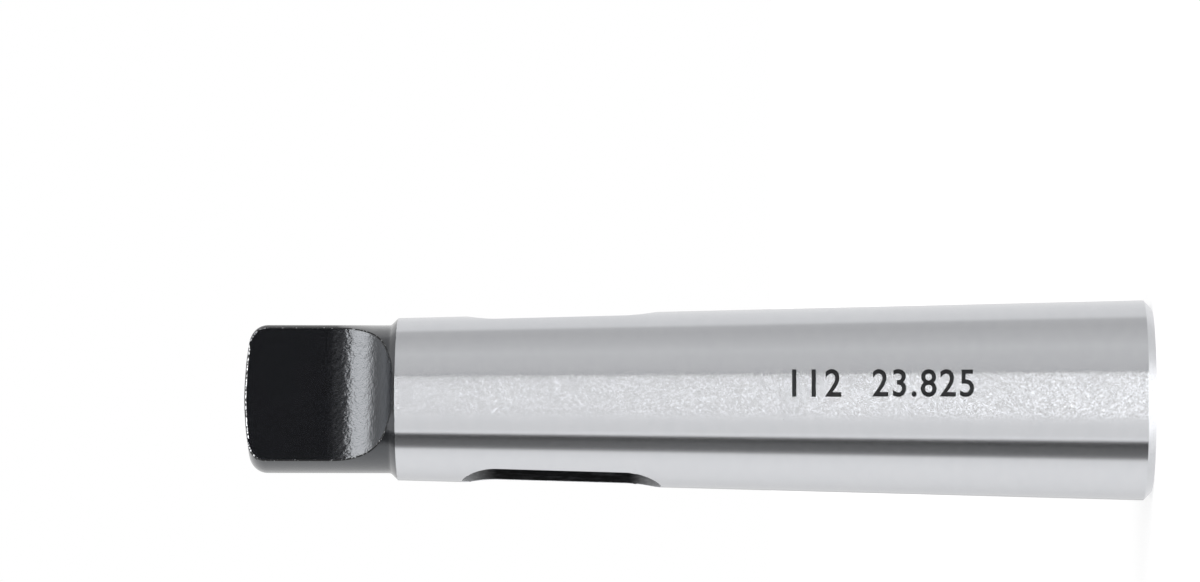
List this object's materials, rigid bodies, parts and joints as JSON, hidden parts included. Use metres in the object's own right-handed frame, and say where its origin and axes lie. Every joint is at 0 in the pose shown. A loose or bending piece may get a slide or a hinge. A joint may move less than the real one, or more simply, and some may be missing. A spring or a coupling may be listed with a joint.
{
  "type": "morse taper sleeve",
  "caption": "Hardened steel reducing sleeve with a tapered outside, a smaller tapered socket, a drift slot and a flat-sided tang, which fits a taper shank tool to a larger spindle.",
  "frame": {"origin": "centre of the mouth face, which is the base when the sleeve stands on it", "axes": "+Z along the taper axis from the mouth to the tang, X through the drift slot, and Y square to the flats of the tang"},
  "size_m": [0.0246, 0.0246, 0.112],
  "materials": {
    "ground_steel": "cylindrically ground bright on both tapers, with a glossy black oxide finish on the tang and in the drift slot"
  },
  "bodies": {
    "root": {"sleeve": "ground_steel"}
  },
  "joints": []
}
